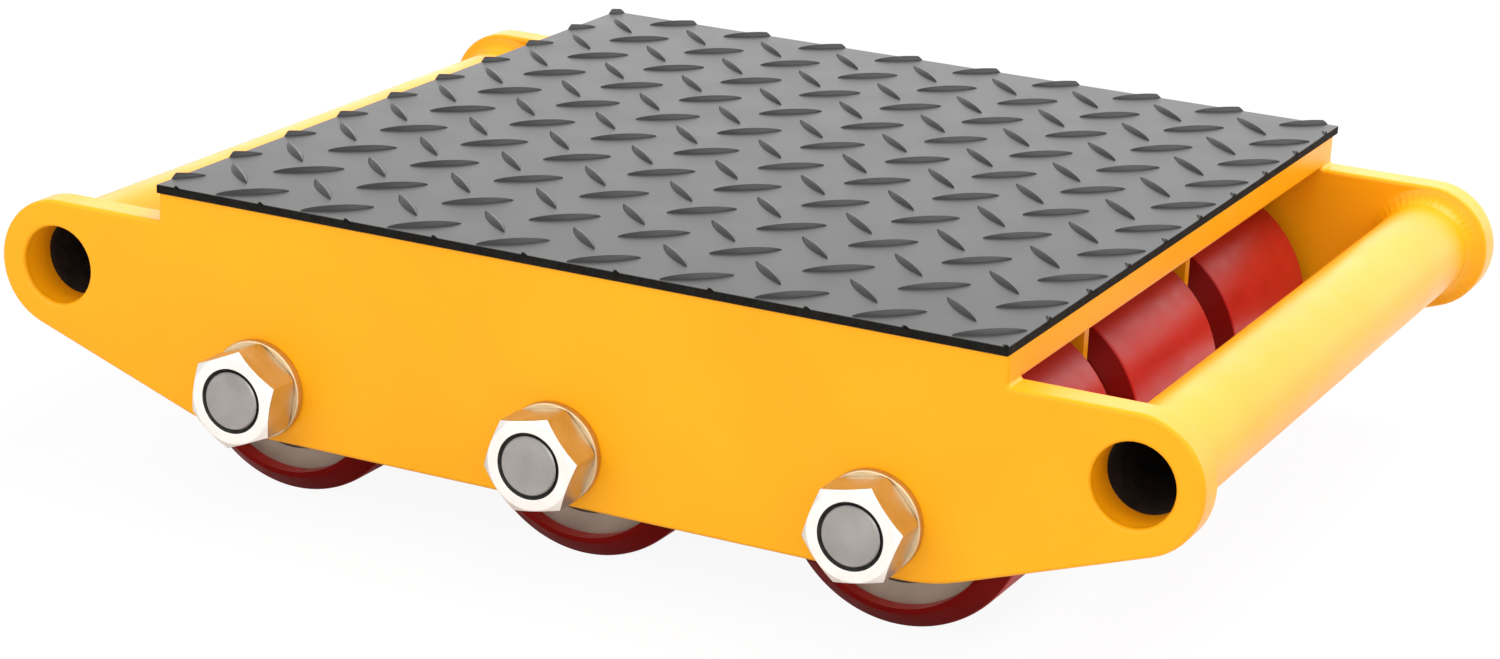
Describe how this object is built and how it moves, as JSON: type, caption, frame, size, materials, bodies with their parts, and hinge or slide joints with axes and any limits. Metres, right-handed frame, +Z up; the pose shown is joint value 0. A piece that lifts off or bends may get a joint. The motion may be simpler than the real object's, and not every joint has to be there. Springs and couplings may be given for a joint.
{
  "type": "machine skate",
  "caption": "Low steel machine skate with a rubber-treaded deck, a pipe between the ears at each end and free-turning polyurethane rollers on clamped through axles.",
  "frame": {"origin": "on the floor under the middle of the skate", "axes": "+X is the rolling direction, +Y runs along the axles towards the rear side plate, +Z is up"},
  "size_m": [0.4378, 0.3514, 0.1083],
  "materials": {
    "frame_paint": "satin yellow paint",
    "mat_rubber": "moulded diamond tread",
    "zinc_plate": "bright zinc plate",
    "axle_steel": "turned",
    "core_iron": "machined",
    "bearing_steel": "ground",
    "polyurethane": "satin red polyurethane"
  },
  "bodies": {
    "frame": {"front_side_plate": "frame_paint", "rear_side_plate": "frame_paint", "deck_plate": "frame_paint", "deck_mat": "mat_rubber", "front_rib": "frame_paint", "rear_rib": "frame_paint", "left_end_tube": "frame_paint", "right_end_tube": "frame_paint", "tube_welds": "frame_paint", "axle_nuts": "zinc_plate", "axle_washers": "zinc_plate", "left_axle": "axle_steel", "left_axle_spacers": "axle_steel", "left_bearing_inner_rings": "bearing_steel", "centre_axle": "axle_steel", "centre_axle_spacers": "axle_steel", "centre_bearing_inner_rings": "bearing_steel", "right_axle": "axle_steel", "right_axle_spacers": "axle_steel", "right_bearing_inner_rings": "bearing_steel"},
    "left_front_roller": {"left_front_tyre": "polyurethane", "left_front_roller_core": "core_iron", "left_front_bearing_outer_rings": "bearing_steel", "left_front_bearing_balls": "bearing_steel"},
    "left_middle_roller": {"left_middle_tyre": "polyurethane", "left_middle_roller_core": "core_iron", "left_middle_bearing_outer_rings": "bearing_steel", "left_middle_bearing_balls": "bearing_steel"},
    "left_rear_roller": {"left_rear_tyre": "polyurethane", "left_rear_roller_core": "core_iron", "left_rear_bearing_outer_rings": "bearing_steel", "left_rear_bearing_balls": "bearing_steel"},
    "centre_front_roller": {"centre_front_tyre": "polyurethane", "centre_front_roller_core": "core_iron", "centre_front_bearing_outer_rings": "bearing_steel", "centre_front_bearing_balls": "bearing_steel"},
    "centre_middle_roller": {"centre_middle_tyre": "polyurethane", "centre_middle_roller_core": "core_iron", "centre_middle_bearing_outer_rings": "bearing_steel", "centre_middle_bearing_balls": "bearing_steel"},
    "centre_rear_roller": {"centre_rear_tyre": "polyurethane", "centre_rear_roller_core": "core_iron", "centre_rear_bearing_outer_rings": "bearing_steel", "centre_rear_bearing_balls": "bearing_steel"},
    "right_front_roller": {"right_front_tyre": "polyurethane", "right_front_roller_core": "core_iron", "right_front_bearing_outer_rings": "bearing_steel", "right_front_bearing_balls": "bearing_steel"},
    "right_middle_roller": {"right_middle_tyre": "polyurethane", "right_middle_roller_core": "core_iron", "right_middle_bearing_outer_rings": "bearing_steel", "right_middle_bearing_balls": "bearing_steel"},
    "right_rear_roller": {"right_rear_tyre": "polyurethane", "right_rear_roller_core": "core_iron", "right_rear_bearing_outer_rings": "bearing_steel", "right_rear_bearing_balls": "bearing_steel"}
  },
  "joints": [
    {"name": "left_front_roller_spin", "type": "hinge", "parent": "frame", "child": "left_front_roller", "pos_m": [-0.113, -0.09733, 0.0425], "axis": [0, 1, 0], "continuous": true},
    {"name": "left_middle_roller_spin", "type": "hinge", "parent": "frame", "child": "left_middle_roller", "pos_m": [-0.113, 0, 0.0425], "axis": [0, 1, 0], "continuous": true},
    {"name": "left_rear_roller_spin", "type": "hinge", "parent": "frame", "child": "left_rear_roller", "pos_m": [-0.113, 0.09733, 0.0425], "axis": [0, 1, 0], "continuous": true},
    {"name": "centre_front_roller_spin", "type": "hinge", "parent": "frame", "child": "centre_front_roller", "pos_m": [0, -0.09733, 0.0425], "axis": [0, 1, 0], "continuous": true},
    {"name": "centre_middle_roller_spin", "type": "hinge", "parent": "frame", "child": "centre_middle_roller", "pos_m": [0, 0, 0.0425], "axis": [0, 1, 0], "continuous": true},
    {"name": "centre_rear_roller_spin", "type": "hinge", "parent": "frame", "child": "centre_rear_roller", "pos_m": [0, 0.09733, 0.0425], "axis": [0, 1, 0], "continuous": true},
    {"name": "right_front_roller_spin", "type": "hinge", "parent": "frame", "child": "right_front_roller", "pos_m": [0.113, -0.09733, 0.0425], "axis": [0, 1, 0], "continuous": true},
    {"name": "right_middle_roller_spin", "type": "hinge", "parent": "frame", "child": "right_middle_roller", "pos_m": [0.113, 0, 0.0425], "axis": [0, 1, 0], "continuous": true},
    {"name": "right_rear_roller_spin", "type": "hinge", "parent": "frame", "child": "right_rear_roller", "pos_m": [0.113, 0.09733, 0.0425], "axis": [0, 1, 0], "continuous": true}
  ]
}
